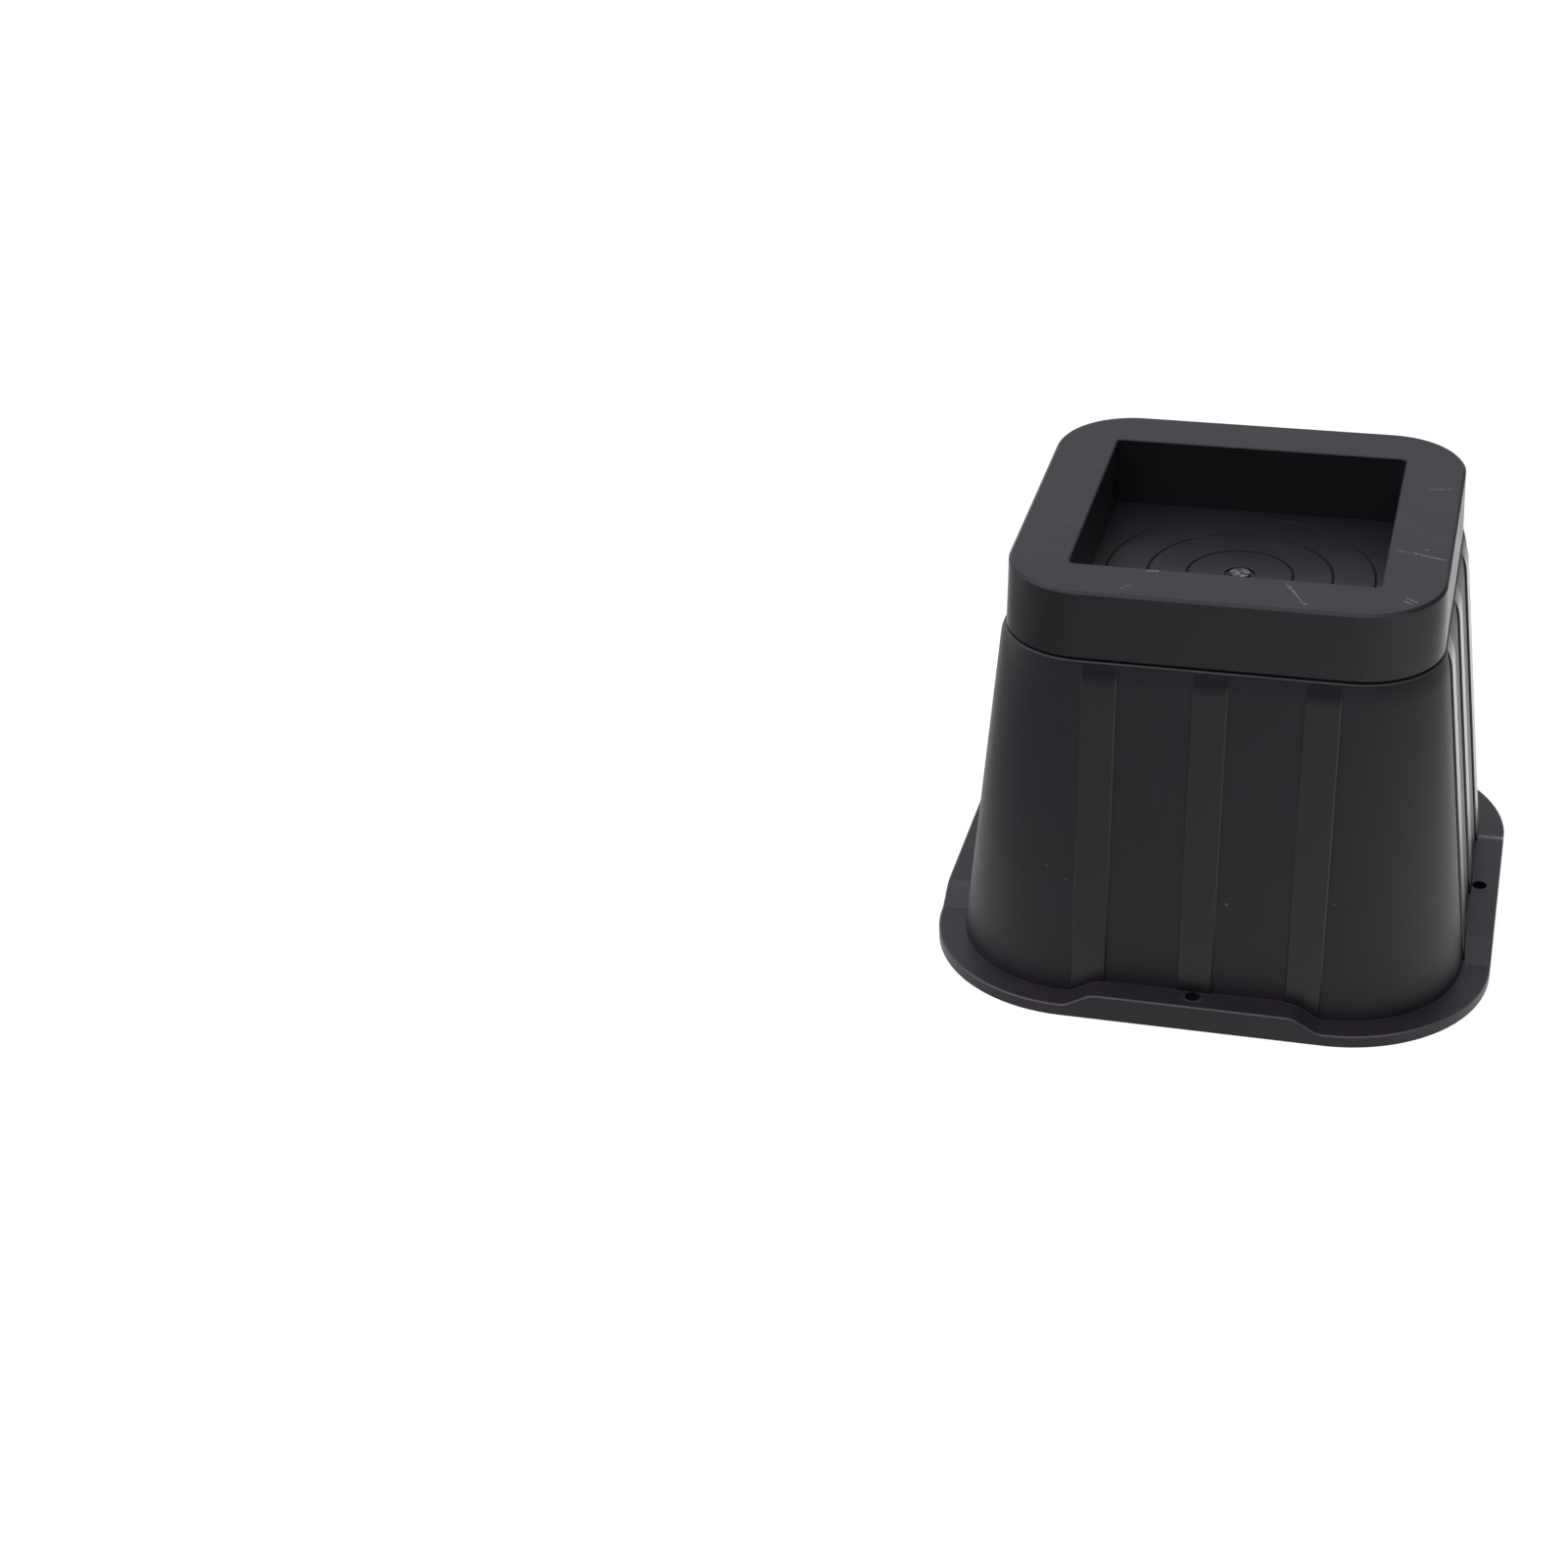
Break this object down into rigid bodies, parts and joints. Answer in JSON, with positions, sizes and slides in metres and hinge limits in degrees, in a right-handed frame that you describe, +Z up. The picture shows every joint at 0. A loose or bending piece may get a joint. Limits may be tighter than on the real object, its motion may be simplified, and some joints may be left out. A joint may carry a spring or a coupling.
{
  "type": "bed riser",
  "caption": "Tapered hollow plastic riser with rounded corners, a screw flange round its foot and a square pocket in its top that takes the leg of a bed.",
  "frame": {"origin": "on the floor, under the middle of the riser", "axes": "+Z up; X and Y square to the four sides, which are alike"},
  "size_m": [0.18, 0.18, 0.1395],
  "materials": {
    "black_polypropylene": "spark-textured black polypropylene, with smooth strips, rim and flange"
  },
  "bodies": {
    "root": {"riser_body": "black_polypropylene"}
  },
  "joints": []
}
